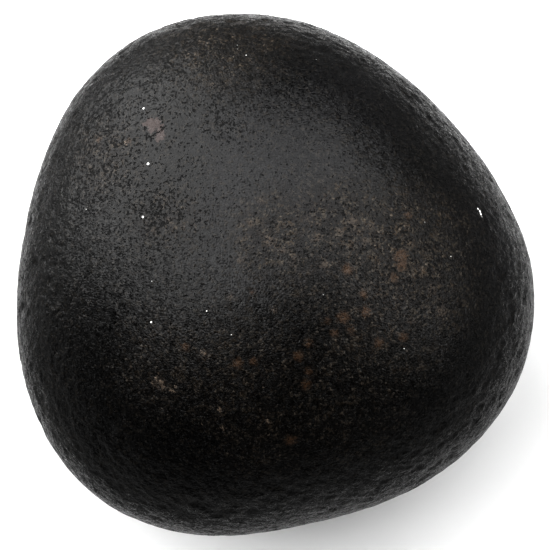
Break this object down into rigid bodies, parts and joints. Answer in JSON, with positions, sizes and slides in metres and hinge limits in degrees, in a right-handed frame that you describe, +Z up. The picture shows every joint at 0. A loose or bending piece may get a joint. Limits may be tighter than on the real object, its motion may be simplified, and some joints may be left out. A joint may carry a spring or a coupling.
{
  "type": "diorite hammerstone",
  "caption": "Fist-sized dark diorite hammerstone: a rounded triangular cobble with smooth worn faces, a battered side and a small ground flat that it rests on.",
  "frame": {"origin": "centre of the bounding box's bottom, on the ground flat that the stone rests on", "axes": "+Z up through the upper worn face, +Y along the stone's longest way across, +X to the right as it is seen from the front"},
  "size_m": [0.088, 0.089, 0.0629],
  "materials": {
    "diorite": "worn smooth satin, finely pitted, pecked round the side"
  },
  "bodies": {
    "root": {"hammerstone": "diorite"}
  },
  "joints": []
}
